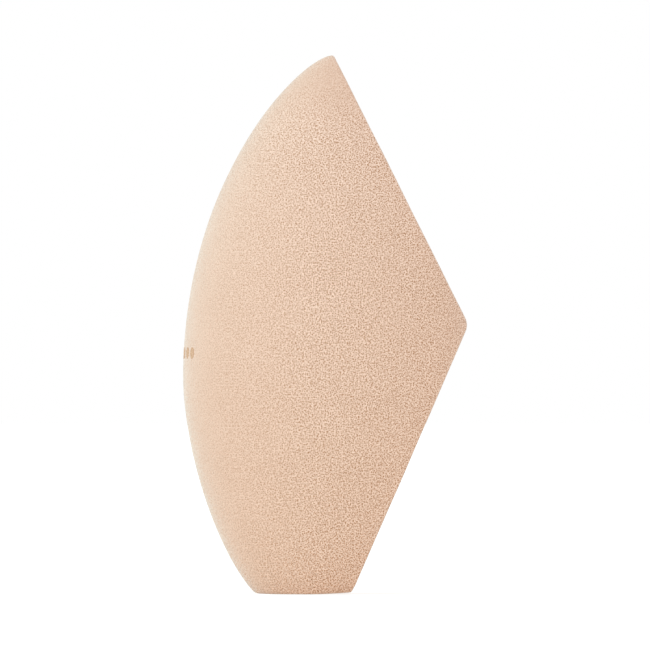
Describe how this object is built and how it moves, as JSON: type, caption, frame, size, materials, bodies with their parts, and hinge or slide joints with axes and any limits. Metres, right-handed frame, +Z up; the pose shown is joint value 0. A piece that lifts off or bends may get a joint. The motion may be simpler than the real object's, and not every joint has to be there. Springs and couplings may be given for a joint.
{
  "type": "makeup sponge",
  "caption": "Drop-shaped cosmetic foam sponge with a flat base, a blunt tip and two flats that meet in a soft ridge on one side.",
  "frame": {"origin": "where the axis that the drop is turned about meets the plane of its flat base", "axes": "+Z up the axis from the base to the tip, +X from the round back towards the two flats, +Y across the flats"},
  "size_m": [0.0369, 0.0388, 0.07],
  "materials": {
    "foam": "soft open-cell foam",
    "ink": "matte"
  },
  "bodies": {
    "root": {"foam_body": "foam", "printed_dots": "ink"}
  },
  "joints": []
}
